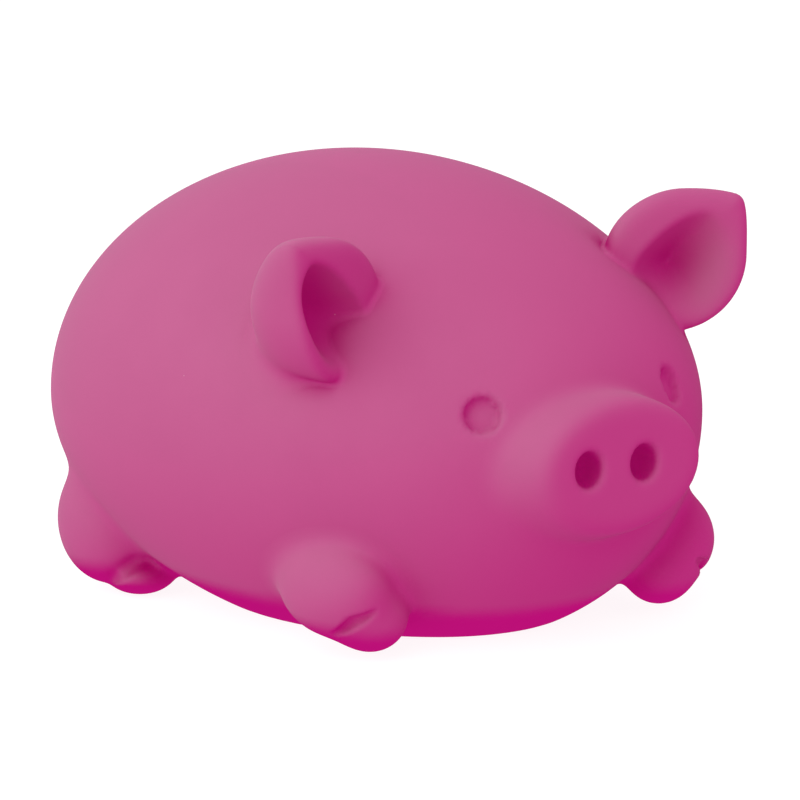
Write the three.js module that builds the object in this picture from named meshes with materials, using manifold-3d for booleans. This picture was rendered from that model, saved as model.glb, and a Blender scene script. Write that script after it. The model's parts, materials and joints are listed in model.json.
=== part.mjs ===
// A pig-shaped squeeze toy: a soft moulded rubber skin round a dough filling.
// Millimetres, +Z up. The pig looks along -Y, its left side is +X, and the origin is on its flat belly.

import * as THREE from 'three';
import { mergeVertices } from 'three/addons/utils/BufferGeometryUtils.js';
import Module from 'manifold-3d';

// Driving dimensions, in millimetres unless the name says otherwise.

// The body is an egg lying down, higher and wider at the rear, with a belly cut flat.
const BODY_LENGTH = 110;
const BODY_WIDTH = 94;
const BODY_HEIGHT = 66;
const BELLY_CUT = 6;
const REAR_WIDENING = 6;
const BACK_RISE = 5.8;
const CHIN_FULLNESS = 3.2;
const SKIN_WALL = 2.5;
const PARTING_HEIGHT = 28;
const GAP = 0.3;

// The snout is an oval boss with a rolled rim and a soft fillet where it leaves the face.
const SNOUT_WIDTH = 32.8;
const SNOUT_DEPTH = 22;
const SNOUT_HEIGHT = 29.5;
const SNOUT_REACH = 4;
const SNOUT_RIM = 4.2;
const SNOUT_FILLET = 3.4;
const SNOUT_FILLET_START_DEG = 30;
const NOSTRIL_SPACING = 9.7;
const NOSTRIL_RAISE = 0.5;
const NOSTRIL_WIDTH = 5.2;
const NOSTRIL_TALL = 6;
const NOSTRIL_DEPTH = 4;

// The eyes are two shallow round dishes.
const EYE_SPACING = 34.4;
const EYE_HEIGHT = 38.3;
const EYE_WIDTH = 6.2;
const EYE_DEPTH = 0.9;

// Each ear is a thick leaf with two curved sides, dished towards the face and leaning over it.
const EAR_FROM_FRONT = 27.3;
const EAR_ANGLE_DEG = 41.5;
const EAR_FACING_DEG = 34;
const EAR_LEAN_DEG = 4;
const EAR_TILT_DEG = 5;
const EAR_LENGTH = 19;
const EAR_WIDTH = 21.6;
const EAR_WIDEST = 1.2;
const EAR_TIP_DROP = 1.9;
const EAR_THICKNESS = 4.6;
const EAR_DISH = 9;

// Each foot is a long lobe on the skin with a smaller toe lobe ahead of it, just clear of the floor.
// Front feet are placed from the body's front end and rear feet from its rear end, towards the middle.
const FRONT_FOOT = { end: -1, fromEnd: 25.2, clearance: 2.8, width: 14.2, length: 22.6, height: 15.6 };
const FRONT_TOE = { ahead: 5.4, inset: 2.4, clearance: 1.6, width: 10.8, length: 11.4, height: 10.2 };
const REAR_FOOT = { end: 1, fromEnd: 32.5, clearance: 1.1, width: 15.8, length: 17.6, height: 20 };
const REAR_TOE = { ahead: 6.2, inset: 0.6, clearance: 0.7, width: 11.4, length: 11.4, height: 9.8 };

// The tail is a tapering curl that leaves the skin square to it.
const TAIL_HEIGHT = 46;
const TAIL_ROOT_RADIUS = 2;
const TAIL_TIP_RADIUS = 1.1;
const TAIL_STALK = 2.2;
const TAIL_CURL_RADIUS = 4.2;
const TAIL_CURL_PITCH = 4;
const TAIL_TURNS = 1.1;

// The belly has a filling hole, closed by a plug with a flange inside.
const PLUG_BEHIND = 17;
const HOLE_RADIUS = 4.5;
const PLUG_FLANGE_RADIUS = 7;
const PLUG_FLANGE_THICKNESS = 1.4;
const PLUG_RECESS = 0.4;

// How finely the curved forms are divided.
const EGG_SEGMENTS = 32;
const EGG_RINGS = 16;
const LOBE_SEGMENTS = 16;
const LOBE_RINGS = 10;
const EAR_SEGMENTS = 22;
const EAR_RINGS = 12;
const SNOUT_SEGMENTS = 28;
const ARC_STEPS = 4;
const TAIL_STEPS = 14;
const TAIL_SIDES = 7;
const PLUG_SEGMENTS = 20;
const WELD_DISTANCE = 1e-4;
const SLOPE_STEP = 0.01;
const HALVINGS = 50;

const EGG_HALF_HEIGHT = (BODY_HEIGHT + BELLY_CUT) / 2;
const MID_HEIGHT = EGG_HALF_HEIGHT - BELLY_CUT;
const HALF_LENGTH = BODY_LENGTH / 2;
const HALF_WIDTH = BODY_WIDTH / 2;
const RADIANS = Math.PI / 180;
const SIDES = { right: -1, left: 1 };

const wasm = await Module();
wasm.setup();

// A closed geometry becomes a solid that can be cut and joined, and a solid becomes a geometry again.
function solidOf(geometry) {
  const bare = geometry.clone();
  bare.deleteAttribute('normal');
  bare.deleteAttribute('uv');
  const welded = mergeVertices(bare, WELD_DISTANCE);
  return new wasm.Manifold(new wasm.Mesh({
    numProp: 3,
    vertProperties: new Float32Array(welded.attributes.position.array),
    triVerts: new Uint32Array(welded.index.array),
  }));
}

function geometryOf(solid) {
  const { vertProperties, triVerts } = solid.getMesh();
  const geometry = new THREE.BufferGeometry();
  geometry.setAttribute('position', new THREE.BufferAttribute(vertProperties, 3));
  geometry.setIndex(new THREE.BufferAttribute(triVerts, 1));
  return geometry;
}

// Moves every point of a geometry by a formula that changes the point in place.
function shaped(geometry, move) {
  const places = geometry.attributes.position;
  const point = new THREE.Vector3();
  for (let i = 0; i < places.count; i += 1) {
    point.fromBufferAttribute(places, i);
    move(point);
    places.setXYZ(i, point.x, point.y, point.z);
  }
  return geometry;
}

// A closed body from rings of points, each point given by its ring and its turn, with flat ends.
function lofted(rings, sides, pointAt) {
  const places = [];
  const corners = [];
  for (let i = 0; i < rings; i += 1) {
    for (let k = 0; k < sides; k += 1) {
      const point = pointAt(i, (2 * Math.PI * k) / sides);
      places.push(point.x, point.y, point.z);
    }
  }
  const corner = (i, k) => i * sides + (k % sides);
  const last = rings - 1;
  for (let i = 0; i < last; i += 1) {
    for (let k = 0; k < sides; k += 1) {
      corners.push(corner(i, k), corner(i, k + 1), corner(i + 1, k + 1));
      corners.push(corner(i, k), corner(i + 1, k + 1), corner(i + 1, k));
    }
  }
  for (let k = 1; k < sides - 1; k += 1) {
    corners.push(corner(0, 0), corner(0, k + 1), corner(0, k));
    corners.push(corner(last, 0), corner(last, k), corner(last, k + 1));
  }
  const body = new THREE.BufferGeometry();
  body.setAttribute('position', new THREE.Float32BufferAttribute(places, 3));
  body.setIndex(corners);
  return body;
}

// A mirror image in the plane between the pig's two sides, with its faces still pointing out.
function mirrored(geometry) {
  const image = geometry.clone().scale(-1, 1, 1);
  const corners = image.index.array;
  for (let i = 0; i < corners.length; i += 3) {
    [corners[i], corners[i + 1]] = [corners[i + 1], corners[i]];
  }
  return image;
}

function ellipsoid(width, length, height, centre) {
  const ball = new THREE.SphereGeometry(1, LOBE_SEGMENTS, LOBE_RINGS);
  return ball.scale(width / 2, length / 2, height / 2).translate(centre.x, centre.y, centre.z);
}

function upright(cylinder, centre, bottom, height) {
  return cylinder.rotateX(Math.PI / 2).translate(centre.x, centre.y, bottom + height / 2);
}

// The egg: a unit ball's point, stretched to the body's sizes and offset outwards.
function eggPoint(ball, offset, target) {
  const along = ball.y;
  const rise = ball.z > 0 ? BACK_RISE * along : -CHIN_FULLNESS * along;
  target.set(
    ball.x * (HALF_WIDTH + offset + REAR_WIDENING * along),
    along * (HALF_LENGTH + offset),
    MID_HEIGHT + ball.z * (EGG_HALF_HEIGHT + offset + rise),
  );
  return target;
}

function egg(offset) {
  const ball = new THREE.SphereGeometry(1, EGG_SEGMENTS, EGG_RINGS);
  return solidOf(shaped(ball, (point) => eggPoint(point.clone(), offset, point)));
}

// A point of the skin, from its place along the body and its angle above the horizontal.
function skinPoint(y, angle, side) {
  const along = y / HALF_LENGTH;
  const ring = Math.sqrt(1 - along * along);
  const ball = new THREE.Vector3(side * ring * Math.cos(angle), along, ring * Math.sin(angle));
  return eggPoint(ball, 0, new THREE.Vector3());
}

// Above 0 outside the skin and below 0 inside it.
function outsideSkin(point) {
  const along = point.y / HALF_LENGTH;
  const up = point.z - MID_HEIGHT;
  const rise = up > 0 ? BACK_RISE * along : -CHIN_FULLNESS * along;
  const across = point.x / (HALF_WIDTH + REAR_WIDENING * along);
  return across * across + along * along + (up / (EGG_HALF_HEIGHT + rise)) ** 2 - 1;
}

function skinNormal(point) {
  const slope = (axis) => outsideSkin(point.clone().addScaledVector(axis, SLOPE_STEP)) - outsideSkin(point);
  const x = slope(new THREE.Vector3(1, 0, 0));
  const y = slope(new THREE.Vector3(0, 1, 0));
  const z = slope(new THREE.Vector3(0, 0, 1));
  return new THREE.Vector3(x, y, z).normalize();
}

// The skin's point straight out from an inner point in a direction.
function skinAlong(inner, direction) {
  let near = 0;
  let far = BODY_LENGTH;
  const at = (distance) => inner.clone().addScaledVector(direction, distance);
  for (let i = 0; i < HALVINGS; i += 1) {
    const middle = (near + far) / 2;
    if (outsideSkin(at(middle)) < 0) near = middle;
    else far = middle;
  }
  return at(near);
}

// A slab between two heights, wide enough to cut the whole body.
function slab(bottom, top) {
  const box = new THREE.BoxGeometry(2 * BODY_WIDTH, 2 * BODY_LENGTH, top - bottom);
  return solidOf(box.translate(0, 0, (bottom + top) / 2));
}

const ABOVE_ALL = MID_HEIGHT + 2 * EGG_HALF_HEIGHT;
const NEAR_SKIN = egg(GAP);

function skinHalves() {
  const outer = egg(0).intersect(slab(0, ABOVE_ALL));
  const cavity = egg(-SKIN_WALL).intersect(slab(SKIN_WALL, ABOVE_ALL));
  const shell = outer.subtract(cavity);
  const back = shell.intersect(slab(PARTING_HEIGHT + GAP / 2, ABOVE_ALL));
  const belly = shell.intersect(slab(-GAP, PARTING_HEIGHT - GAP / 2));
  return { back: withEyes(back), belly: belly.subtract(fillingHole()) };
}

function withEyes(back) {
  let skin = back;
  for (const side of Object.values(SIDES)) {
    const behind = new THREE.Vector3(side * EYE_SPACING / 2, 0, EYE_HEIGHT);
    const eye = skinAlong(behind, new THREE.Vector3(0, -1, 0));
    const turn = new THREE.Quaternion().setFromUnitVectors(new THREE.Vector3(0, 0, 1), skinNormal(eye));
    const dish = ellipsoid(EYE_WIDTH, EYE_WIDTH, 2 * EYE_DEPTH, new THREE.Vector3());
    skin = skin.subtract(solidOf(dish.applyQuaternion(turn).translate(eye.x, eye.y, eye.z)));
  }
  return skin;
}

const PLUG_CENTRE = new THREE.Vector3(0, PLUG_BEHIND, 0);
const FLANGE_BOTTOM = SKIN_WALL + GAP;

function fillingHole() {
  const through = 2 * SKIN_WALL;
  const hole = new THREE.CylinderGeometry(HOLE_RADIUS, HOLE_RADIUS, through, PLUG_SEGMENTS);
  return solidOf(upright(hole, PLUG_CENTRE, -SKIN_WALL / 2, through));
}

function plug() {
  const shank = HOLE_RADIUS - GAP;
  const profile = [
    new THREE.Vector2(0, PLUG_RECESS),
    new THREE.Vector2(shank, PLUG_RECESS),
    new THREE.Vector2(shank, FLANGE_BOTTOM),
    new THREE.Vector2(PLUG_FLANGE_RADIUS, FLANGE_BOTTOM),
    new THREE.Vector2(PLUG_FLANGE_RADIUS, FLANGE_BOTTOM + PLUG_FLANGE_THICKNESS),
    new THREE.Vector2(0, FLANGE_BOTTOM + PLUG_FLANGE_THICKNESS),
  ];
  const turned = new THREE.LatheGeometry(profile, PLUG_SEGMENTS).rotateX(Math.PI / 2);
  return solidOf(turned.translate(PLUG_CENTRE.x, PLUG_CENTRE.y, 0));
}

function filling() {
  const inset = SKIN_WALL + GAP;
  const dough = egg(-inset).intersect(slab(inset, ABOVE_ALL));
  const room = PLUG_FLANGE_RADIUS + GAP;
  const tall = PLUG_FLANGE_THICKNESS + 2 * GAP;
  const recess = new THREE.CylinderGeometry(room, room, tall, PLUG_SEGMENTS);
  return dough.subtract(solidOf(upright(recess, PLUG_CENTRE, FLANGE_BOTTOM - GAP, tall)));
}

// The snout's rings run from inside the body, over the fillet that follows the skin, to the rolled rim.
function snout() {
  const front = HALF_LENGTH + SNOUT_REACH;
  const buried = HALF_LENGTH / 2;
  const rings = 2 * ARC_STEPS + 3;
  const ringPoint = (i, turn) => {
    const turned = Math.max(0, Math.min(i - 1, ARC_STEPS)) / ARC_STEPS;
    const fillet = Math.PI / 2 - (1 - turned) * (Math.PI / 2 - SNOUT_FILLET_START_DEG * RADIANS);
    const rim = (Math.PI / 2) * Math.max(0, i - 2 - ARC_STEPS) / ARC_STEPS;
    const out = SNOUT_FILLET * (1 - Math.sin(fillet)) - SNOUT_RIM * (1 - Math.cos(rim));
    const x = (SNOUT_WIDTH / 2 + out) * Math.cos(turn);
    const z = SNOUT_HEIGHT + (SNOUT_DEPTH / 2 + out) * Math.sin(turn);
    const rimStart = front - SNOUT_RIM;
    if (i === 0) return new THREE.Vector3(x, -buried, z);
    if (i > ARC_STEPS + 1) return new THREE.Vector3(x, -rimStart - SNOUT_RIM * Math.sin(rim), z);
    const skin = skinAlong(new THREE.Vector3(x, 0, z), new THREE.Vector3(0, -1, 0));
    const ahead = SNOUT_FILLET * (1 - Math.cos(fillet));
    return new THREE.Vector3(x, Math.max(skin.y - ahead, -rimStart), z);
  };
  let boss = solidOf(lofted(rings, SNOUT_SEGMENTS, ringPoint)).subtract(NEAR_SKIN);
  for (const side of Object.values(SIDES)) {
    const centre = new THREE.Vector3(side * NOSTRIL_SPACING / 2, -front, SNOUT_HEIGHT + NOSTRIL_RAISE);
    boss = boss.subtract(solidOf(ellipsoid(NOSTRIL_WIDTH, 2 * NOSTRIL_DEPTH, NOSTRIL_TALL, centre)));
  }
  return boss;
}

// The pig's right ear. Its leaf is a ball flattened to two arcs that meet at the tip, blunt at the rim.
const EAR_ROOT = skinPoint(EAR_FROM_FRONT - HALF_LENGTH, EAR_ANGLE_DEG * RADIANS, SIDES.right);

function earFrame() {
  const out = skinNormal(EAR_ROOT);
  const upwards = new THREE.Vector3(0, 0, 1);
  const face = new THREE.Vector3(0, -1, 0).applyAxisAngle(upwards, EAR_FACING_DEG * RADIANS);
  face.addScaledVector(out, -face.dot(out)).normalize();
  const down = new THREE.Vector3().crossVectors(face, out);
  const frame = new THREE.Matrix4().makeBasis(out, down, face).setPosition(EAR_ROOT);
  frame.multiply(new THREE.Matrix4().makeRotationY(-EAR_LEAN_DEG * RADIANS));
  return frame.multiply(new THREE.Matrix4().makeRotationZ(-EAR_TILT_DEG * RADIANS));
}

function rightEar() {
  const half = EAR_WIDTH / 2;
  const reach = EAR_LENGTH - EAR_WIDEST;
  const arc = (reach * reach + half * half) / (2 * half);
  const off = arc - half;
  const blunt = (share) => Math.sign(share) * Math.sqrt(Math.abs(share));
  const ball = new THREE.SphereGeometry(1, EAR_SEGMENTS, EAR_RINGS).rotateX(Math.PI / 2);
  const leaf = shaped(ball, (point) => {
    const turn = Math.atan2(point.y, point.x);
    const share = blunt(Math.min(1, Math.hypot(point.x, point.y)));
    const edge = Math.sqrt(arc * arc - (off * Math.cos(turn)) ** 2) - off * Math.abs(Math.sin(turn));
    const out = EAR_WIDEST + edge * share * Math.cos(turn);
    const down = edge * share * Math.sin(turn) + EAR_TIP_DROP * out / EAR_LENGTH;
    const dish = EAR_DISH * (1 - share * share);
    point.set(out, down, blunt(point.z) * EAR_THICKNESS / 2 - dish);
  });
  return solidOf(leaf.applyMatrix4(earFrame())).subtract(NEAR_SKIN);
}

// A right foot: its lobe's middle lies on the skin's side, and its toe lies ahead of it and further in.
function footCentre(foot) {
  const along = foot.end * (HALF_LENGTH - foot.fromEnd);
  const inner = new THREE.Vector3(0, along, foot.clearance + foot.height / 2);
  return skinAlong(inner, new THREE.Vector3(SIDES.right, 0, 0));
}

function rightFoot(foot, toe) {
  const centre = footCentre(foot);
  const tip = centre.clone();
  tip.x -= SIDES.right * toe.inset;
  tip.y -= toe.ahead;
  tip.z = toe.clearance + toe.height / 2;
  const lobe = solidOf(ellipsoid(foot.width, foot.length, foot.height, centre));
  const toeLobe = solidOf(ellipsoid(toe.width, toe.length, toe.height, tip));
  return lobe.add(toeLobe).subtract(NEAR_SKIN);
}

// The tail's middle line: a straight stalk, then a helix about the skin's own normal.
const TAIL_ROOT = skinAlong(new THREE.Vector3(0, 0, TAIL_HEIGHT), new THREE.Vector3(0, 1, 0));

class TailLine extends THREE.Curve {
  getPoint(share, target = new THREE.Vector3()) {
    const out = skinNormal(TAIL_ROOT);
    const across = new THREE.Vector3(1, 0, 0);
    const up = new THREE.Vector3().crossVectors(across, out).negate();
    const stalk = TAIL_STALK + TAIL_ROOT_RADIUS;
    const curl = 2 * Math.PI * TAIL_TURNS * TAIL_CURL_RADIUS;
    const length = share * (stalk + curl);
    const turn = Math.max(0, length - stalk) / TAIL_CURL_RADIUS;
    const height = Math.min(length, stalk) - TAIL_ROOT_RADIUS + TAIL_CURL_PITCH * turn / (2 * Math.PI);
    target.copy(TAIL_ROOT).addScaledVector(out, height);
    target.addScaledVector(across, TAIL_CURL_RADIUS * (1 - Math.cos(turn)));
    return target.addScaledVector(up, TAIL_CURL_RADIUS * Math.sin(turn));
  }
}

function tail() {
  const line = new TailLine();
  const frames = line.computeFrenetFrames(TAIL_STEPS, false);
  const ringPoint = (i, turn) => {
    const share = i / TAIL_STEPS;
    const radius = TAIL_ROOT_RADIUS + (TAIL_TIP_RADIUS - TAIL_ROOT_RADIUS) * share;
    const point = line.getPointAt(share);
    point.addScaledVector(frames.normals[i], radius * Math.cos(turn));
    return point.addScaledVector(frames.binormals[i], radius * Math.sin(turn));
  };
  return solidOf(lofted(TAIL_STEPS + 1, TAIL_SIDES, ringPoint)).subtract(NEAR_SKIN);
}

// Materials: every outer piece is the same matt pink rubber, the plug is darker and the dough is off-white.
const PINK = 0xc4588f;
const PLUG_PINK = 0xb84c84;
const DOUGH_WHITE = 0xf0e6e2;
const rubber = new THREE.MeshStandardMaterial({ color: PINK, roughness: 0.7, metalness: 0 });
const dough = new THREE.MeshStandardMaterial({ color: DOUGH_WHITE, roughness: 0.6, metalness: 0 });
const plugRubber = new THREE.MeshStandardMaterial({ color: PLUG_PINK, roughness: 0.65, metalness: 0 });

const pig = new THREE.Group();

// Each piece's own origin is the point that it turns about.
function addPiece(name, geometry, material, pivot = new THREE.Vector3()) {
  const own = geometry.clone().translate(-pivot.x, -pivot.y, -pivot.z);
  own.computeVertexNormals();
  const piece = new THREE.Mesh(own, material);
  piece.name = name;
  piece.position.copy(pivot);
  pig.add(piece);
}

function addPair(name, solid, rightPivot) {
  const geometry = geometryOf(solid);
  const leftPivot = rightPivot.clone();
  leftPivot.x = -rightPivot.x;
  addPiece(`${name}_right`, geometry, rubber, rightPivot);
  addPiece(`${name}_left`, mirrored(geometry), rubber, leftPivot);
}

const halves = skinHalves();
addPiece('belly_skin', geometryOf(halves.belly), rubber);
addPiece('back_skin', geometryOf(halves.back), rubber);
addPiece('filling', geometryOf(filling()), dough);
addPiece('fill_plug', geometryOf(plug()), plugRubber, PLUG_CENTRE);
addPiece('snout', geometryOf(snout()), rubber, new THREE.Vector3(0, -HALF_LENGTH, SNOUT_HEIGHT));
addPair('ear', rightEar(), EAR_ROOT);
addPair('foot_front', rightFoot(FRONT_FOOT, FRONT_TOE), footCentre(FRONT_FOOT));
addPair('foot_rear', rightFoot(REAR_FOOT, REAR_TOE), footCentre(REAR_FOOT));
addPiece('tail', geometryOf(tail()), rubber, TAIL_ROOT);

export default pig;
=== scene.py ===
# %% [markdown]
# # A soft pig squeeze toy
# The toy is one moulding of soft magenta rubber, filled with dough and closed by a plug under the belly.
# The imported part holds its sizes, its bodies and its joints. This lesson loads that part as a fixed frame
# and dresses it: every faceted solid is replaced by a smooth, closed mesh, and the plug hangs on the belly's
# body.

# %% Load the imported part
import json
import math

import bpy
import numpy as np
from mathutils import Matrix, Vector


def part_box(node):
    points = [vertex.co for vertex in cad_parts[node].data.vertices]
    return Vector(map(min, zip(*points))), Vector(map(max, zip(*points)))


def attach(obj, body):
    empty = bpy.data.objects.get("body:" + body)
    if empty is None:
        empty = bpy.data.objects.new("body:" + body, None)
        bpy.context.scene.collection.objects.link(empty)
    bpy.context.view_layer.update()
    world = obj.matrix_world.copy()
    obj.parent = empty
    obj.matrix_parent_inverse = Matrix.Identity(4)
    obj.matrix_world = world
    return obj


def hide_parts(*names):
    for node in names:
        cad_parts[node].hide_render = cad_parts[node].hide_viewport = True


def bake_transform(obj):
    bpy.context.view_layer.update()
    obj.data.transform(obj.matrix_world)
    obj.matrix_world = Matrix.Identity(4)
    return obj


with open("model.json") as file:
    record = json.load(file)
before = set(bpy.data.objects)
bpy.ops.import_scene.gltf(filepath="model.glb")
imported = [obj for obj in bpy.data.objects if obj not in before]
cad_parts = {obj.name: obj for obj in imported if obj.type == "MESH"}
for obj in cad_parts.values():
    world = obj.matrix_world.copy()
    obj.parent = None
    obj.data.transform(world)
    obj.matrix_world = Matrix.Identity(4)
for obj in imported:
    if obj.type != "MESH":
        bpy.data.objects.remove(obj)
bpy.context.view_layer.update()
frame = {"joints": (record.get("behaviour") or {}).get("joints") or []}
joints = {joint["name"]: joint for joint in frame["joints"]}
MM = 0.001

# %% [markdown]
# ## Forms as distance fields
# Nothing on this toy has a sharp edge: the snout grows out of the face and each ear runs into the back.
# Such a form could be sculpted by hand, or joined with metaballs. Here each form is a *distance field*
# instead, a function that gives how far a point lies outside it, in millimetres and below 0 inside. Fields
# are easy to join with a fillet of a known size, to carve and to trim, and all of their sizes stay real.

# %% Join, carve and trim
TINY = 1e-6


def joined(a, b, fillet):
    """Two forms run together, with a fillet whose radius is about half the number given."""
    near = np.maximum(1 - np.abs(a - b) / fillet, 0)
    return np.minimum(a, b) - fillet * near ** 3 / 6


def trimmed(a, b, edge):
    """What two forms share, with the new edge softened."""
    return -joined(-a, -b, edge)


def carved(a, b, edge):
    """The first form without the second, with the new edge softened."""
    return trimmed(a, -b, edge)


def ellipsoid(points, centre, radii):
    """Distance to a ball stretched to three radii, exact only near its surface."""
    scaled = (points - np.asarray(centre)) / radii
    reach = np.linalg.norm(scaled, axis=-1)
    slope = np.linalg.norm(scaled / radii, axis=-1)
    return reach * (reach - 1) / np.maximum(slope, TINY)


def smooth_step(low, high, value):
    """0 at low, 1 at high, and an even S between them. Low may be the larger of the two."""
    share = np.clip((value - low) / (high - low), 0, 1)
    return share * share * (3 - 2 * share)


def trial_ball(points):
    """A ball 4 mm across, to try the helpers on."""
    return ellipsoid(points, (0, 0, 0), (2, 2, 2))


print("5 mm from the middle of the trial ball, its field is", trial_ball(np.array([5.0, 0.0, 0.0])))

# %% [markdown]
# ## From a field to a mesh
# Blender renders meshes, so a field is sampled on a grid. Every grid cell that the surface passes through
# gets one vertex, and the cells around each crossed grid edge give one quad. The vertices start in the
# middle of their cells, and are then spread out evenly and pulled onto the surface in turns. That gives
# closed meshes of near-square quads, which bend well and bake well.

# %% Mesh a field
SLOPE_STEP = 0.01
LEAST_STEEP = 0.05
SPREAD_ROUNDS = 6
TRIAL_STEP = 0.5


def slope_of(field, points):
    """The field's slope at each point, by small steps along the three axes."""
    columns = [field(points + step) - field(points - step) for step in np.eye(3) * SLOPE_STEP]
    return np.stack(columns, -1) / (2 * SLOPE_STEP)


def unit(vectors):
    return vectors / np.linalg.norm(vectors, axis=-1, keepdims=True)


def pulled_onto(field, points):
    """Each point moved along the field's slope by the distance that the field gives."""
    slope = slope_of(field, points)
    steep = np.maximum((slope * slope).sum(-1), LEAST_STEEP)
    return points - (field(points) / steep)[:, None] * slope


def spread_out(points, quads):
    """Each point moved halfway to the middle of its neighbours."""
    ends = np.concatenate([quads[:, [i, (i + 1) % 4]] for i in range(4)])
    ends = np.concatenate([ends, ends[:, ::-1]])
    count = np.bincount(ends[:, 0], minlength=len(points))
    sums = [np.bincount(ends[:, 0], points[ends[:, 1], axis], len(points)) for axis in range(3)]
    return (points + np.stack(sums, -1) / count[:, None]) / 2


def surface(field, low, high, step):
    """Vertices and outward quads of the field's surface inside a box."""
    axes = [np.arange(start, end + step, step) for start, end in zip(low, high)]
    grid = np.stack(np.meshgrid(*axes, indexing="ij"), -1)
    inside = (field(grid.reshape(-1, 3)) < 0).reshape(grid.shape[:3])
    ends = (slice(None, -1), slice(1, None))
    corners = sum(inside[a, b, c].astype(int) for a in ends for b in ends for c in ends)
    crossed = (corners > 0) & (corners < 8)
    number = np.full(crossed.shape, -1)
    number[crossed] = np.arange(crossed.sum())
    points = grid[:-1, :-1, :-1][crossed] + step / 2
    quads = []
    for axis in range(3):
        side = np.moveaxis(inside, axis, 0)[:, 1:-1, 1:-1]
        cell = np.moveaxis(number, axis, 0)
        around = [cell[:, :-1, :-1], cell[:, 1:, :-1], cell[:, 1:, 1:], cell[:, :-1, 1:]]
        leaving, entering = side[:-1] & ~side[1:], ~side[:-1] & side[1:]
        for crossing, forward in ((leaving, axis != 1), (entering, axis == 1)):
            ring = np.stack([cells[crossing] for cells in around], -1)
            quads.append(ring if forward else ring[:, ::-1])
    quads = np.concatenate(quads)
    for _ in range(SPREAD_ROUNDS):
        points = pulled_onto(field, spread_out(points, quads))
    return pulled_onto(field, points), quads


def make_piece(name, shells, material):
    """One object from one or more closed shells, given in millimetres."""
    starts = np.cumsum([0] + [len(points) for points, _ in shells])
    points = np.concatenate([points for points, _ in shells])
    quads = np.concatenate([quads + start for (_, quads), start in zip(shells, starts)])
    mesh = bpy.data.meshes.new(name)
    mesh.from_pydata((points * MM).tolist(), [], quads.tolist())
    mesh.shade_smooth()
    mesh.materials.append(material)
    piece = bpy.data.objects.new(name, mesh)
    bpy.context.collection.objects.link(piece)
    print(f"{name}: {len(quads)} quads")
    return piece


trial_points, trial_quads = surface(trial_ball, (-3, -3, -3), (3, 3, 3), TRIAL_STEP)
trial_error = np.abs(trial_ball(trial_points)).max()
print("trial ball:", len(trial_quads), "quads, off its surface by", round(trial_error, 6), "mm at most")

# %% [markdown]
# ## One small helper for shader nodes
# A material is a tree of nodes. This helper adds one node, sets its options, and fills its sockets with
# numbers or with the outputs of other nodes. Colours are written as the hex values that a picture editor
# shows, and are turned into the linear light that the renderer works in.

# %% Nodes and colours
def add_node(tree, kind, options=None, sockets=None):
    node = tree.nodes.new(kind)
    for option, value in (options or {}).items():
        setattr(node, option, value)
    for socket, value in (sockets or {}).items():
        if isinstance(value, bpy.types.NodeSocket):
            tree.links.new(value, node.inputs[socket])
        else:
            node.inputs[socket].default_value = value
    return node


def linear(hex_colour):
    """A hex colour as linear light, by the curve of the sRGB standard."""
    parts = [int(hex_colour[i:i + 2], 16) / 255 for i in (1, 3, 5)]
    return [c / 12.92 if c <= 0.04045 else ((c + 0.055) / 1.055) ** 2.4 for c in parts] + [1.0]


def per_size(millimetres):
    """The scale of a pattern whose features have this size, on coordinates in metres."""
    return 1 / (millimetres * MM)


def new_material(name):
    material = bpy.data.materials.new(name)
    material.use_nodes = True
    material.node_tree.nodes.clear()
    return material, material.node_tree


print("the mid grey #808080 is", round(linear("#808080")[0], 3), "in linear light")

# %% [markdown]
# ## Matt moulded rubber
# The skin is thermoplastic rubber, moulded in a lightly blasted tool. The eye gets a deep magenta, a pale
# powdery bloom on the open surface, no sharp reflection, a few dust specks and the faintest cloudiness of
# the pigment. One flat colour would look like paint. Light scattering under the surface could soften it,
# but that blurs the eyes and the clefts, so here a deep diffuse colour carries a weak and very rough gloss,
# which is the bloom. An *ambient occlusion* node measures how open a place is and turns the gloss down
# where it is shut in: this is painted shade, which keeps the bloom out of the ears, the nostrils and the
# clefts. The bloom's tint holds back some red, because the magenta below it already gives the red. The
# plug is the same rubber, a bit darker.

# %% Rubber
MAGENTA = "#B71074"
DEEP_MAGENTA = "#B20D71"
PLUG_MAGENTA = "#9C0A64"
DEEP_PLUG_MAGENTA = "#94085E"
DUST = "#E9B8CF"
DUST_COVER = 0.2
CLOUD_SIZE = 16
# The real blast is finer than a pixel of the picture, so its grain is drawn coarser than it is.
GRAIN_SIZE = 0.4
GRAIN_HEIGHT = 0.012
SPECK_SPACING = 9
SPECK_RADIUS = 0.13
LEAST_ROUGHNESS = 0.9
MOST_ROUGHNESS = 0.96
RUBBER_IOR = 1.5
SHINE = 0.25
BLOOM_TINT = "#D9FFFA"
# Painted shade: within this reach, ambient occlusion turns the gloss from SHINE down to nothing between OPEN
# and SHUT_IN.
HOLLOW_SIZE = 8
SHUT_IN = 0.52
OPEN = 0.86
HOLLOW_RAYS = 8


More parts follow.
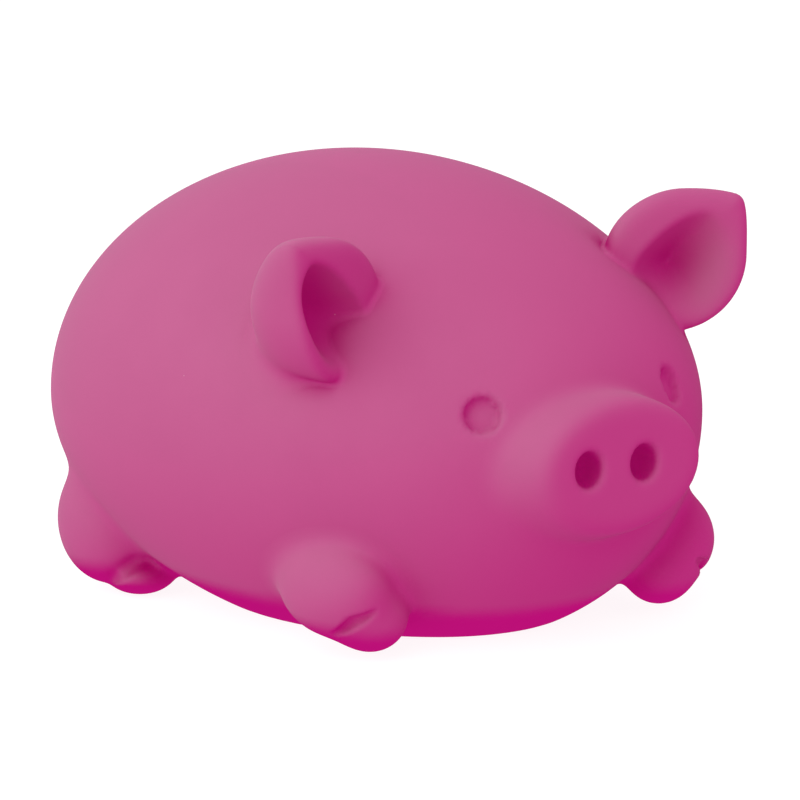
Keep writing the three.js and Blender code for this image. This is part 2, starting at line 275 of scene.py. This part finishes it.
def moulded_rubber(name, colour, cloud_colour):
    material, tree = new_material(name)
    place = add_node(tree, "ShaderNodeTexCoord").outputs["Object"]
    cloud = add_node(tree, "ShaderNodeTexNoise", {}, {
        "Vector": place, "Scale": per_size(CLOUD_SIZE), "Detail": 3.0, "Roughness": 0.6})
    pigment = add_node(tree, "ShaderNodeMix", {"data_type": "RGBA"}, {
        "Factor": cloud.outputs["Fac"], "A": linear(colour), "B": linear(cloud_colour)})
    speck = add_node(tree, "ShaderNodeTexVoronoi", {}, {"Vector": place, "Scale": per_size(SPECK_SPACING)})
    speck_edge = SPECK_RADIUS / SPECK_SPACING
    dust = add_node(tree, "ShaderNodeMapRange", {}, {
        "Value": speck.outputs["Distance"], "From Min": speck_edge, "From Max": speck_edge / 2,
        "To Min": 0.0, "To Max": DUST_COVER})
    dusty = add_node(tree, "ShaderNodeMix", {"data_type": "RGBA"}, {
        "Factor": dust.outputs["Result"], "A": pigment.outputs["Result"], "B": linear(DUST)})
    grain = add_node(tree, "ShaderNodeTexNoise", {}, {
        "Vector": place, "Scale": per_size(GRAIN_SIZE), "Detail": 2.0})
    bump = add_node(tree, "ShaderNodeBump", {}, {
        "Height": grain.outputs["Fac"], "Distance": GRAIN_HEIGHT * MM, "Strength": 1.0})
    # Painted shade: the gloss is turned down where ambient occlusion finds the surface shut in, as in the
    # ears, nostrils and clefts.
    painted_shade_openness = add_node(tree, "ShaderNodeAmbientOcclusion", {"samples": HOLLOW_RAYS}, {
        "Distance": HOLLOW_SIZE * MM})
    bloom_and_painted_shade = add_node(tree, "ShaderNodeMapRange", {}, {
        "Value": painted_shade_openness.outputs["AO"], "From Min": SHUT_IN, "From Max": OPEN,
        "To Min": 0.0, "To Max": SHINE})
    matt = add_node(tree, "ShaderNodeMapRange", {}, {
        "Value": cloud.outputs["Fac"], "To Min": LEAST_ROUGHNESS, "To Max": MOST_ROUGHNESS})
    shader = add_node(tree, "ShaderNodeBsdfPrincipled", {}, {
        "Base Color": dusty.outputs["Result"], "Roughness": matt.outputs["Result"],
        "Normal": bump.outputs["Normal"], "IOR": RUBBER_IOR,
        "Specular IOR Level": bloom_and_painted_shade.outputs["Result"], "Specular Tint": linear(BLOOM_TINT)})
    add_node(tree, "ShaderNodeOutputMaterial", {}, {"Surface": shader.outputs["BSDF"]})
    return material


rubber = moulded_rubber("TPR_rubber_matt_moulded", MAGENTA, DEEP_MAGENTA)
plug_rubber = moulded_rubber("TPR_rubber_plug_moulded", PLUG_MAGENTA, DEEP_PLUG_MAGENTA)
print("materials:", rubber.name, plug_rubber.name)

# %% [markdown]
# ## The body
# The body is an egg lying on its flat belly, higher and wider at the rear. A ball could be scaled and then
# sculpted to it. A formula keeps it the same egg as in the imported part, and every lobe can then be run into
# it. The length comes from the frame, and the other sizes that shape the egg are those of the part's source.

# %% Body field
skin_low, skin_high = (Vector(corner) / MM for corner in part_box("back_skin"))
HALF_LENGTH = (skin_high.y - skin_low.y) / 2
HALF_WIDTH = 47.0
EGG_HALF_HEIGHT = 36.0
BELLY_CUT = 6.0
MID_HEIGHT = EGG_HALF_HEIGHT - BELLY_CUT
REAR_WIDENING = 6.0
BACK_RISE = 5.8
CHIN_FULLNESS = 3.2
BELLY_EDGE = 0.6
FARTHEST_ALONG = 1.3
HALVINGS = 40


def egg(points):
    """A ball stretched to half sizes that change from the front to the rear."""
    x, y, z = points[..., 0], points[..., 1], points[..., 2]
    along = np.clip(y / HALF_LENGTH, -FARTHEST_ALONG, FARTHEST_ALONG)
    up = z - MID_HEIGHT
    wide = HALF_WIDTH + REAR_WIDENING * along
    tall = EGG_HALF_HEIGHT + np.where(up > 0, BACK_RISE, -CHIN_FULLNESS) * along
    reach = np.sqrt((x / wide) ** 2 + along ** 2 + (up / tall) ** 2)
    slope = np.sqrt((x / wide ** 2) ** 2 + (along / HALF_LENGTH) ** 2 + (up / tall ** 2) ** 2)
    return reach * (reach - 1) / np.maximum(slope, TINY)


def body(points):
    return trimmed(egg(points), -points[..., 2], BELLY_EDGE)


def on_body(start, direction):
    """The body's surface point straight out from an inner point, by halving."""
    near, far = 0.0, 2 * HALF_LENGTH
    start, direction = np.asarray(start, float), np.asarray(direction, float)
    for _ in range(HALVINGS):
        middle = (near + far) / 2
        if egg(start + middle * direction) < 0:
            near = middle
        else:
            far = middle
    return start + near * direction


print("body half length in mm:", round(HALF_LENGTH, 2))

# %% [markdown]
# ## Snout, nostrils and eyes
# The snout is an oval drum with a rolled rim, which narrows towards its front and leans a little to the
# pig's left and up. On the toy it is the same skin as the face, so it is joined to the body's field with a
# fillet, ends inside the body, and becomes part of one seamless skin. A separate drum would show a seam.
# The nostrils are deep oval holes with a soft edge. The eyes are shallow round dishes: the body's field is
# pushed in by the dish's depth. As on the real toy, the two eyes don't sit quite alike.

# %% Skin field
SNOUT_FRONT = -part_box("snout")[0].y / MM
SNOUT_LENGTH = 7.5
SNOUT_HALF_WIDTH = 15.6
SNOUT_HALF_HEIGHT = 11.3
SNOUT_HEIGHT = 28.6
SNOUT_TAPER = 0.22
SNOUT_LEAN = 0.22
SNOUT_RISE = 0.12
SNOUT_RIM = 4.2
SNOUT_FILLET = 2.0
NOSTRIL_SPACING = 9.7
NOSTRIL_HEIGHT = 29.7
NOSTRIL_RADII = (2.3, 3.4, 2.7)
NOSTRIL_EDGE = 1.4
EYE_PLACES = ((-16.4, 37.4), (18.0, 37.8))
EYE_RADIUS = 2.6
EYE_DEPTH = 1.4
EYE_EDGE = 0.5
PLUG_CENTRE = np.array([0.0, 17.0, 0.0])
HOLE_RADIUS = 4.5
HOLE_EDGE = 0.4
WALL = 2.5


def snout(points):
    """An oval drum that narrows, leans and rises towards its front, and ends inside the body."""
    ahead = -points[..., 1] - SNOUT_FRONT
    along = np.clip(ahead + SNOUT_LENGTH, -SNOUT_LENGTH, 2 * SNOUT_LENGTH)
    x, z = points[..., 0] - SNOUT_LEAN * along, points[..., 2] - SNOUT_HEIGHT - SNOUT_RISE * along
    wide, high = SNOUT_HALF_WIDTH - SNOUT_TAPER * along, SNOUT_HALF_HEIGHT - SNOUT_TAPER * along
    reach = np.hypot(x / wide, z / high)
    slope = np.hypot(x / wide ** 2, z / high ** 2)
    across = reach * (reach - 1) / np.maximum(slope, TINY) / math.hypot(1, SNOUT_TAPER)
    drum = trimmed(across, ahead, SNOUT_RIM)
    return np.maximum(drum, -2 * SNOUT_LENGTH - ahead)


eyes = [on_body((x, 0, height), (0, -1, 0)) for x, height in EYE_PLACES]
eye_normals = [unit(slope_of(egg, eye[None]))[0] for eye in eyes]


def eye_dishes(points):
    """How far the skin is pushed in at the eyes."""
    pushed = np.zeros(points.shape[:-1])
    for eye, normal in zip(eyes, eye_normals):
        offset = points - eye
        out = offset @ normal
        aside = np.linalg.norm(offset - out[..., None] * normal, axis=-1)
        dish = smooth_step(EYE_RADIUS + EYE_EDGE, EYE_RADIUS - EYE_EDGE, aside)
        pushed += np.where(np.abs(out) < 3 * EYE_RADIUS, EYE_DEPTH * dish, 0)
    return pushed


def plug_hole(points):
    offset = points - PLUG_CENTRE
    return np.maximum(np.hypot(offset[..., 0], offset[..., 1]) - HOLE_RADIUS, offset[..., 2] - WALL)


def skin(points):
    face = joined(body(points) + eye_dishes(points), snout(points), SNOUT_FILLET)
    for side in (-1, 1):
        centre = (side * NOSTRIL_SPACING / 2, -SNOUT_FRONT, NOSTRIL_HEIGHT)
        face = carved(face, ellipsoid(points, centre, NOSTRIL_RADII), NOSTRIL_EDGE)
    return carved(face, plug_hole(points), HOLE_EDGE)


def cavity(points):
    """The hollow inside the skin, which the dough fills."""
    return trimmed(egg(points) + WALL, WALL - points[..., 2], BELLY_EDGE)


print("eyes at", [eye.round(1).tolist() for eye in eyes])

# %% [markdown]
# ## The skin piece
# The skin is a hollow shell of rubber. A Solidify modifier could thicken its outer face, but it would fold
# over itself at the nostrils' tight rims. So the shell has a fine outer face and a coarse inner one of its
# own, whose quads are turned round to face the hollow. Pressing the back down is a slide between the belly
# and the back.

# %% Skin
SKIN_STEP = 0.8
INNER_STEP = 2.4
ROOM = 3.0
body_low = (-HALF_WIDTH - ROOM, -SNOUT_FRONT - ROOM, -ROOM)
body_high = (HALF_WIDTH + ROOM, HALF_LENGTH + ROOM, skin_high.z + ROOM)


def squeezed(piece):
    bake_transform(piece)


inner_points, inner_quads = surface(cavity, body_low, body_high, INNER_STEP)
toy_skin = make_piece("toy_skin", [surface(skin, body_low, body_high, SKIN_STEP),
                                   (inner_points, inner_quads[:, ::-1])], rubber)
squeezed(toy_skin)
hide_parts("back_skin", "belly_skin", "snout")

# %% [markdown]
# ## The dough filling
# The dough is hidden, but it is what makes the toy slow and heavy in the hand. It is a kneaded off-white
# paste that fills the skin. It could be poured in by a simulation, but it ends up as the cavity's own form,
# a hair smaller and with room for the plug's flange, so that form is meshed straight away. To the eye,
# kneaded dough is pale and matt with soft lumps, and one noise gives both their shade and their bump.

# %% Dough
DOUGH_GAP = 0.3
DOUGH_EDGE = 0.5
DOUGH_WHITE = "#F0E6E2"
DOUGH_SHADE = "#DDD0C8"
LUMP_SIZE = 5
LUMP_HEIGHT = 0.3
FLANGE_RADIUS = 7.0
FLANGE_TOP = 4.2


def dough_form(points):
    offset = points - PLUG_CENTRE
    aside = np.hypot(offset[..., 0], offset[..., 1])
    flange = np.maximum(aside - FLANGE_RADIUS, offset[..., 2] - FLANGE_TOP)
    return carved(cavity(points) + DOUGH_GAP, flange - DOUGH_GAP, DOUGH_EDGE)


def soft_dough():
    material, tree = new_material("flour_dough_kneaded")
    place = add_node(tree, "ShaderNodeTexCoord").outputs["Object"]
    lumps = add_node(tree, "ShaderNodeTexNoise", {}, {
        "Vector": place, "Scale": per_size(LUMP_SIZE), "Detail": 4.0})
    shade = add_node(tree, "ShaderNodeMix", {"data_type": "RGBA"}, {
        "Factor": lumps.outputs["Fac"], "A": linear(DOUGH_WHITE), "B": linear(DOUGH_SHADE)})
    bump = add_node(tree, "ShaderNodeBump", {}, {
        "Height": lumps.outputs["Fac"], "Distance": LUMP_HEIGHT * MM})
    shader = add_node(tree, "ShaderNodeBsdfPrincipled", {}, {
        "Base Color": shade.outputs["Result"], "Roughness": 0.6, "Normal": bump.outputs["Normal"]})
    add_node(tree, "ShaderNodeOutputMaterial", {}, {"Surface": shader.outputs["BSDF"]})
    return material


dough_mesh = surface(dough_form, body_low, body_high, INNER_STEP)
dough = make_piece("dough_filling", [dough_mesh], soft_dough())
squeezed(dough)
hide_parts("filling")

# %% [markdown]
# ## The form of the ears
# Each ear is a thick cupped leaf with a blunt tip. A flat leaf could be modelled and bent, but its thick
# rim and its root would need sculpting. Here a teardrop is drawn in the leaf's plane, a *bowl* rounds its
# back, a slightly tilted plane cuts its front, and a second bowl carves the hollow. The upper edge of the
# hollow is crisp and the lower one rolls in. All of it is built in the ear's own directions: out from the
# body, down the leaf and towards the face. Each ear has its own sizes, as the real toy's two ears differ.
#
# The root runs into the body with a fillet, which is tight in front of the leaf, wider behind it and widest
# at its heel. The fillet sinks under the skin, and a hidden *skirt* of the ear's mesh follows it there. The
# skirt ends a little past that line: if it ended sooner, its smooth shading would show as a line on the
# skin, and if it ended later, it would meet the front foot's skirt when the toy is squeezed.

# %% Ear field
EAR_FACING_DEG = 34
EAR_LEAN_DEG = 4
EAR_TILT_DEG = 5
EARS = {
    "right": {"middle": (4.0, 1.0), "radius": 10.4, "tip": (18.2, 1.5), "tip_radius": 0.9,
              "back_after": (21.0, 10.5)},
    "left": {"middle": (5.6, 0.3), "radius": 10.7, "tip": (17.3, 1.4), "tip_radius": 2.1,
             "back_after": (21.0, 13.0)}}
EAR_BACK = {"middle": (2.0, 2.0), "before": (21.0, 13.0), "depth": 10.6, "power": 2.0}
EAR_HOLLOWS = {
    "right": {"middle": (3.4, 1.8), "before": (6.4, 4.2), "after": (11.2, 7.2), "depth": 7.0,
              "power": 2.0},
    "left": {"middle": (3.8, 0.2), "before": (5.8, 4.6), "after": (10.6, 8.8), "depth": 6.4,
             "power": 1.25}}
EAR_FRONT = 4.8
EAR_FRONT_LEAN = np.array([0.30, 0.12])
UPPER_RIM = 4.5
LOWER_RIM = 2.5
UPPER_EDGE = 1.0
LOWER_EDGE = 2.6
# How far down the leaf its rim and edge begin to change, and where they are the lower ones.
UPPER_END, LOWER_END = -1, 6
FRONT_FILLET = 1.0
BACK_FILLET = 3.5
HEEL_FILLET = 4.8
# Where the fillet begins to widen and where it is full: down the leaf, and then towards its back.
BACK_END, HEEL_END = 2, 8
FACE_SIDE, BACK_SIDE = 1, -6
UNDER_SKIN = 0.012
ROOT_DEPTH = 1.2
# A fillet sinks under the skin at about this share of its number, and the skirt ends this far past it.
SUNK_AT = 0.75
SKIRT_PAST = 1.5
LOBE_STEP = 0.5

ear_root = np.array(joints["ear_right_flex"]["pos_m"]) / MM


def turned(axis, degrees):
    return np.array(Matrix.Rotation(math.radians(degrees), 3, axis))


def ear_directions():
    """Columns: out of the body, down the leaf and towards the face, for the pig's right ear."""
    out = unit(slope_of(egg, ear_root[None]))[0]
    facing = math.radians(EAR_FACING_DEG)
    face = np.array([math.sin(facing), -math.cos(facing), 0.0])
    face = unit(face - (face @ out) * out)
    down = np.cross(face, out)
    return np.column_stack([out, down, face]) @ turned("Y", -EAR_LEAN_DEG) @ turned("Z", -EAR_TILT_DEG)


ear_axes = ear_directions()


def teardrop(flat, start, end, start_radius, end_radius):
    """Distance to a disc drawn out to a rounded tip, in the plane of the leaf."""
    axis = end - start
    length = np.linalg.norm(axis)
    lean = (start_radius - end_radius) / length
    rise = math.sqrt(1 - lean ** 2)
    offset = flat - start
    along = offset @ axis / length
    aside = np.abs(offset[..., 0] * axis[1] - offset[..., 1] * axis[0]) / length
    turn = rise * along - lean * aside
    middle = rise * aside + lean * along - start_radius
    round_end = np.linalg.norm(flat - end, axis=-1) - end_radius
    return np.where(turn < 0, np.hypot(along, aside) - start_radius,
                    np.where(turn > rise * length, round_end, middle))


def bowl(flat, face, middle, before, after, depth, power):
    """What lies above a bowl whose rim is at face 0. Power 2 is a parabola, and 1 would be a cone."""
    offset = flat - np.array(middle)
    reach = np.where(offset < 0, before, after)
    share = np.maximum(np.linalg.norm(offset / reach, axis=-1), TINY)
    steep = power * depth * share ** (power - 2) * np.linalg.norm(offset / reach ** 2, axis=-1)
    return (depth * (share ** power - 1) - face) / np.hypot(1, steep)


def ear_form(ear, hollow):
    """The field of an ear with these sizes, on the pig's right side."""
    middle, tip = np.array(ear["middle"]), np.array(ear["tip"])

    def field(points):
        local = (points - ear_root) @ ear_axes
        flat, face = local[..., :2], local[..., 2]
        leaf = teardrop(flat, middle, tip, ear["radius"], ear["tip_radius"])
        leaf = trimmed(leaf, bowl(flat, face, after=ear["back_after"], **EAR_BACK), UPPER_RIM)
        front = face - EAR_FRONT + flat @ EAR_FRONT_LEAN
        lower = smooth_step(UPPER_END, LOWER_END, flat[..., 1])
        rim = UPPER_RIM + (LOWER_RIM - UPPER_RIM) * lower
        leaf = trimmed(leaf, front / math.hypot(1, *EAR_FRONT_LEAN), rim)
        edge = UPPER_EDGE + (LOWER_EDGE - UPPER_EDGE) * lower
        return carved(leaf, bowl(flat, front, **hollow), edge)
    return field


def ear_fillet(points):
    """A tight fillet in front of the leaf, and a wide one behind it, which is widest low down."""
    local = (points - ear_root) @ ear_axes
    low, face = local[..., 1], local[..., 2]
    wide = BACK_FILLET + (HEEL_FILLET - BACK_FILLET) * smooth_step(BACK_END, HEEL_END, low)
    return FRONT_FILLET + (wide - FRONT_FILLET) * smooth_step(FACE_SIDE, BACK_SIDE, face)


def rooted(lobe, fillet):
    """A lobe run into the body, kept to the lobe, its fillet and a hidden skirt under the skin."""
    def field(points):
        own, base, wide = lobe(points), body(points), fillet(points)
        run_in = joined(own, base + UNDER_SKIN, wide)
        skirt = SUNK_AT * wide + SKIRT_PAST
        return np.maximum(np.maximum(run_in, -base - ROOT_DEPTH), own - skirt)
    return field


def mirrored(points, quads):
    return points * (-1, 1, 1), quads[:, ::-1]


print("ear directions:", ear_axes.round(2).tolist())

# %% [markdown]
# ## The ears
# An ear is one lobe of the moulding. Both ears are meshed on the pig's right side, and the left one is then
# mirrored.

# %% Ears
LOBE_ROOM = 3 * ROOM
ear_low, ear_high = (np.array(Vector(corner) / MM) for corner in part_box("ear_right"))
for side, flip in (("right", 1), ("left", -1)):
    form = rooted(ear_form(EARS[side], EAR_HOLLOWS[side]), ear_fillet)
    mesh = surface(form, ear_low - LOBE_ROOM, ear_high + LOBE_ROOM, LOBE_STEP)
    mesh = mesh if flip > 0 else mirrored(*mesh)
    ear = make_piece(f"{side}_ear", [mesh], rubber)
    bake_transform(ear)
    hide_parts(f"ear_{side}")

# %% [markdown]
# ## The feet
# Each foot is a long lobe on the body's side with a smaller toe ahead of it, and a short cleft between the
# two. It could be sculpted, but two stretched balls joined with a fillet hold its few sizes. The cleft is
# carved along a short bent *rope*, whose radius changes from point to point, so it fades out at its ends.

# %% Feet
FRONT_FOOT = {"lobe": (7.1, 10.6, 7.8), "toe": (5.4, 5.2, 5.1), "toe_offset": (3.2, -4.6, -4.4),
              "toe_fillet": 4.0, "cleft": [(-3.4, -5.0, -6.0), (-2.5, -8.8, -3.7), (-0.1, -10.3, -2.2)],
              "cleft_radii": (0.3, 1.1, 0.5), "cleft_edge": 0.8}
REAR_FOOT = {"lobe": (7.9, 8.8, 10.0), "toe": (5.2, 5.4, 3.0), "toe_offset": (2.2, -4.9, -8.0),
             "toe_fillet": 1.6, "cleft": [(-3.5, -3.9, -9.2), (-3.1, -7.4, -7.0), (-0.7, -8.6, -5.0)],
             "cleft_radii": (0.8, 1.2, 1.1), "cleft_edge": 1.0}
FOOT_FILLET = 4.0


def rope(points, line, radii):
    """Distance to a chain of straight pieces, with a radius at each of its points."""
    nearest = np.full(points.shape[:-1], np.inf)
    for start, end, first, last in zip(line[:-1], line[1:], radii[:-1], radii[1:]):
        step = end - start
        along = np.clip((points - start) @ step / (step @ step), 0, 1)
        gap = np.linalg.norm(points - start - along[..., None] * step, axis=-1)
        nearest = np.minimum(nearest, gap - first - (last - first) * along)
    return nearest


def right_foot(centre, foot):
    """The field of a foot with these sizes, on the pig's right side."""
    toe, cleft = centre + foot["toe_offset"], centre + np.array(foot["cleft"])

    def field(points):
        lobe = ellipsoid(points, centre, foot["lobe"])
        lobes = joined(lobe, ellipsoid(points, toe, foot["toe"]), foot["toe_fillet"])
        return carved(lobes, rope(points, cleft, foot["cleft_radii"]), foot["cleft_edge"])
    return field


for end, foot in (("front", FRONT_FOOT), ("rear", REAR_FOOT)):
    centre = np.array(joints[f"foot_{end}_right_flex"]["pos_m"]) / MM
    outward = unit(slope_of(egg, centre[None]))[0]
    low, high = (np.array(Vector(corner) / MM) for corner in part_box(f"foot_{end}_right"))
    form = rooted(right_foot(centre, foot), lambda points: FOOT_FILLET)
    foot_mesh = surface(form, low - LOBE_ROOM, high + LOBE_ROOM, LOBE_STEP)
    for side, mesh, flip in (("right", foot_mesh, 1), ("left", mirrored(*foot_mesh), -1)):
        piece = make_piece(f"{end}_{side}_foot", [mesh], rubber)
        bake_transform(piece)
        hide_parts(f"foot_{end}_{side}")

# %% [markdown]
# ## The tail
# The tail is a short stalk that winds into a tapering curl. A curve with a bevel could make it, but its
# root has to run into the skin as the other lobes do. So it is a field too: a rope along a helix, whose
# radius shrinks towards the tip.

# %% Tail
TAIL_ROOT_RADIUS = 2.0
TAIL_TIP_RADIUS = 1.1
TAIL_STALK = 2.2
TAIL_CURL_RADIUS = 4.2
TAIL_CURL_PITCH = 4.0
TAIL_TURNS = 1.1
TAIL_SAMPLES = 60
TAIL_FILLET = 1.8
TAIL_ROOM = 2 * ROOM
tail_root = np.array(joints["tail_flex"]["pos_m"]) / MM
tail_out = unit(slope_of(egg, tail_root[None]))[0]


def tail_line(share):
    """Points along the tail's middle, for shares of its length from 0 to 1."""
    across = np.array([1.0, 0.0, 0.0])
    up = -np.cross(across, tail_out)
    stalk = TAIL_STALK + TAIL_ROOT_RADIUS
    length = share * (stalk + 2 * math.pi * TAIL_TURNS * TAIL_CURL_RADIUS)
    turn = np.maximum(0, length - stalk) / TAIL_CURL_RADIUS
    height = np.minimum(length, stalk) - TAIL_ROOT_RADIUS + TAIL_CURL_PITCH * turn / (2 * math.pi)
    curl = TAIL_CURL_RADIUS * (np.outer(1 - np.cos(turn), across) + np.outer(np.sin(turn), up))
    return tail_root + np.outer(height, tail_out) + curl


tail_points = tail_line(np.linspace(0, 1, TAIL_SAMPLES))


def curled_tail(points):
    return rope(points, tail_points, np.linspace(TAIL_ROOT_RADIUS, TAIL_TIP_RADIUS, TAIL_SAMPLES))


low, high = (np.array(Vector(corner) / MM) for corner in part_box("tail"))
form = rooted(curled_tail, lambda points: TAIL_FILLET)
tail_mesh = surface(form, low - TAIL_ROOM, high + TAIL_ROOM, LOBE_STEP)
tail = make_piece("curled_tail", [tail_mesh], rubber)
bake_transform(tail)
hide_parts("tail")

# %% [markdown]
# ## The plug
# A rubber plug closes the filling hole under the belly. It is a short round shank with a flange inside
# the skin, so that the dough can't push it out. A turned profile could make it as well. As a field, two
# trimmed rods joined with a small fillet, it comes out with soft moulded edges like the rest.

# %% Plug
PLUG_RADIUS = 4.2
PLUG_RECESS = 0.4
FLANGE_BOTTOM = 2.8
PLUG_EDGE = 0.5
PLUG_STEP = 0.4
PLUG_ROOM = 1.0


def plug_form(points):
    offset = points - PLUG_CENTRE
    aside, z = np.hypot(offset[..., 0], offset[..., 1]), offset[..., 2]
    shank = trimmed(aside - PLUG_RADIUS, np.maximum(PLUG_RECESS - z, z - FLANGE_TOP), PLUG_EDGE)
    flange = trimmed(aside - FLANGE_RADIUS, np.maximum(FLANGE_BOTTOM - z, z - FLANGE_TOP), PLUG_EDGE)
    return joined(shank, flange, PLUG_EDGE)


low, high = (np.array(Vector(corner) / MM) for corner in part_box("fill_plug"))
plug_mesh = surface(plug_form, low - PLUG_ROOM, high + PLUG_ROOM, PLUG_STEP)
plug = make_piece("belly_plug", [plug_mesh], plug_rubber)
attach(plug, "belly")
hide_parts("fill_plug")

# %% [markdown]
# ## Camera
# The photograph looks at the pig's face from its front right, from a little above, through a long lens.
# Two angles and a distance in metres place the camera on a sphere round the toy, a focal length in pixels
# sets how large the toy appears, and a small shift sets the framing.

# %% Camera
AZIMUTH_DEG = -33.5
ELEVATION_DEG = 11.52
DISTANCE = 0.7
AIM = Vector((0, 0, 0.03))
SENSOR = 36.0
IMAGE_SIDE = 800
FOCAL_PIXELS = 4587
CENTRE_PIXEL = (389.05, 395.6)

azimuth, elevation = math.radians(AZIMUTH_DEG), math.radians(ELEVATION_DEG)
back = Vector((math.sin(azimuth) * math.cos(elevation), -math.cos(azimuth) * math.cos(elevation),
               math.sin(elevation)))
camera = bpy.data.objects.new("camera", bpy.data.cameras.new("camera"))
camera.data.sensor_width = SENSOR
camera.data.lens = FOCAL_PIXELS * SENSOR / IMAGE_SIDE
camera.data.shift_x = (IMAGE_SIDE / 2 - CENTRE_PIXEL[0]) / IMAGE_SIDE
camera.data.shift_y = (CENTRE_PIXEL[1] - IMAGE_SIDE / 2) / IMAGE_SIDE
camera.location = AIM + DISTANCE * back
camera.rotation_euler = back.to_track_quat("Z", "Y").to_euler()
bpy.context.collection.objects.link(camera)
bpy.context.scene.camera = camera
print("lens in mm:", round(camera.data.lens, 1))

# %% [markdown]
# ## Floor and light
# The toy stands on white paper in a white tent, with one large soft box to the camera's upper left. The
# tent's even light fills the diffuse colour. A lamp could give that too, but would draw hard shadows. The
# soft box lights the gloss alone, so it draws the bloom and leaves the diffuse colour even. The paper glows
# by itself, which keeps it white round the toy, and it throws no light back up. The Standard view adds no
# film curve, which would shift the hex colours. All lengths in this cell are metres.

# %% Stage
FLOOR_SIDE = 8.0
FLOOR_GREY = "#6A6969"
FLOOR_GLOW = 0.9
WHITE = "#FFFFFF"
TENT_LIGHT = 1.09
BOX_SIDE = 1.6
BOX_DISTANCE = 1.2
BOX_POWER = 300.0
BOX_LEFT = 0.53
BOX_UP = 0.47
BOX_BACK = 0.7


def pale_floor():
    """Smooth matt paper: a plain pale sheet to the eye, with no pattern at this distance."""
    material, tree = new_material("floor_matt_paper")
    shader = add_node(tree, "ShaderNodeBsdfPrincipled", {}, {
        "Base Color": linear(FLOOR_GREY), "Roughness": 0.9, "Specular IOR Level": 0.2,
        "Emission Color": linear(WHITE), "Emission Strength": FLOOR_GLOW})
    add_node(tree, "ShaderNodeOutputMaterial", {}, {"Surface": shader.outputs["BSDF"]})
    return material


half = FLOOR_SIDE / 2
floor_corners = [(-half, -half, 0), (half, -half, 0), (half, half, 0), (-half, half, 0)]
floor_mesh = bpy.data.meshes.new("floor")
floor_mesh.from_pydata(floor_corners, [], [(0, 1, 2, 3)])
floor = bpy.data.objects.new("floor", floor_mesh)
floor.data.materials.append(pale_floor())
floor.visible_glossy = False
floor.visible_diffuse = False
bpy.context.collection.objects.link(floor)

right = Vector((math.cos(azimuth), math.sin(azimuth), 0))
up = back.cross(right)
towards_box = (-BOX_LEFT * right + BOX_UP * up + BOX_BACK * back).normalized()
soft_box = bpy.data.objects.new("soft_box", bpy.data.lights.new("soft_box", "AREA"))
soft_box.data.size = BOX_SIDE
soft_box.data.energy = BOX_POWER
soft_box.location = AIM + BOX_DISTANCE * towards_box
soft_box.rotation_euler = towards_box.to_track_quat("Z", "Y").to_euler()
soft_box.visible_diffuse = False
soft_box.visible_camera = False
bpy.context.collection.objects.link(soft_box)

world = bpy.data.worlds.new("tent")
world.use_nodes = True
world.node_tree.nodes["Background"].inputs["Color"].default_value = linear(WHITE)
world.node_tree.nodes["Background"].inputs["Strength"].default_value = TENT_LIGHT
world.cycles_visibility.glossy = False
bpy.context.scene.world = world
bpy.context.scene.view_settings.view_transform = "Standard"
print("lights:", soft_box.name, world.name)
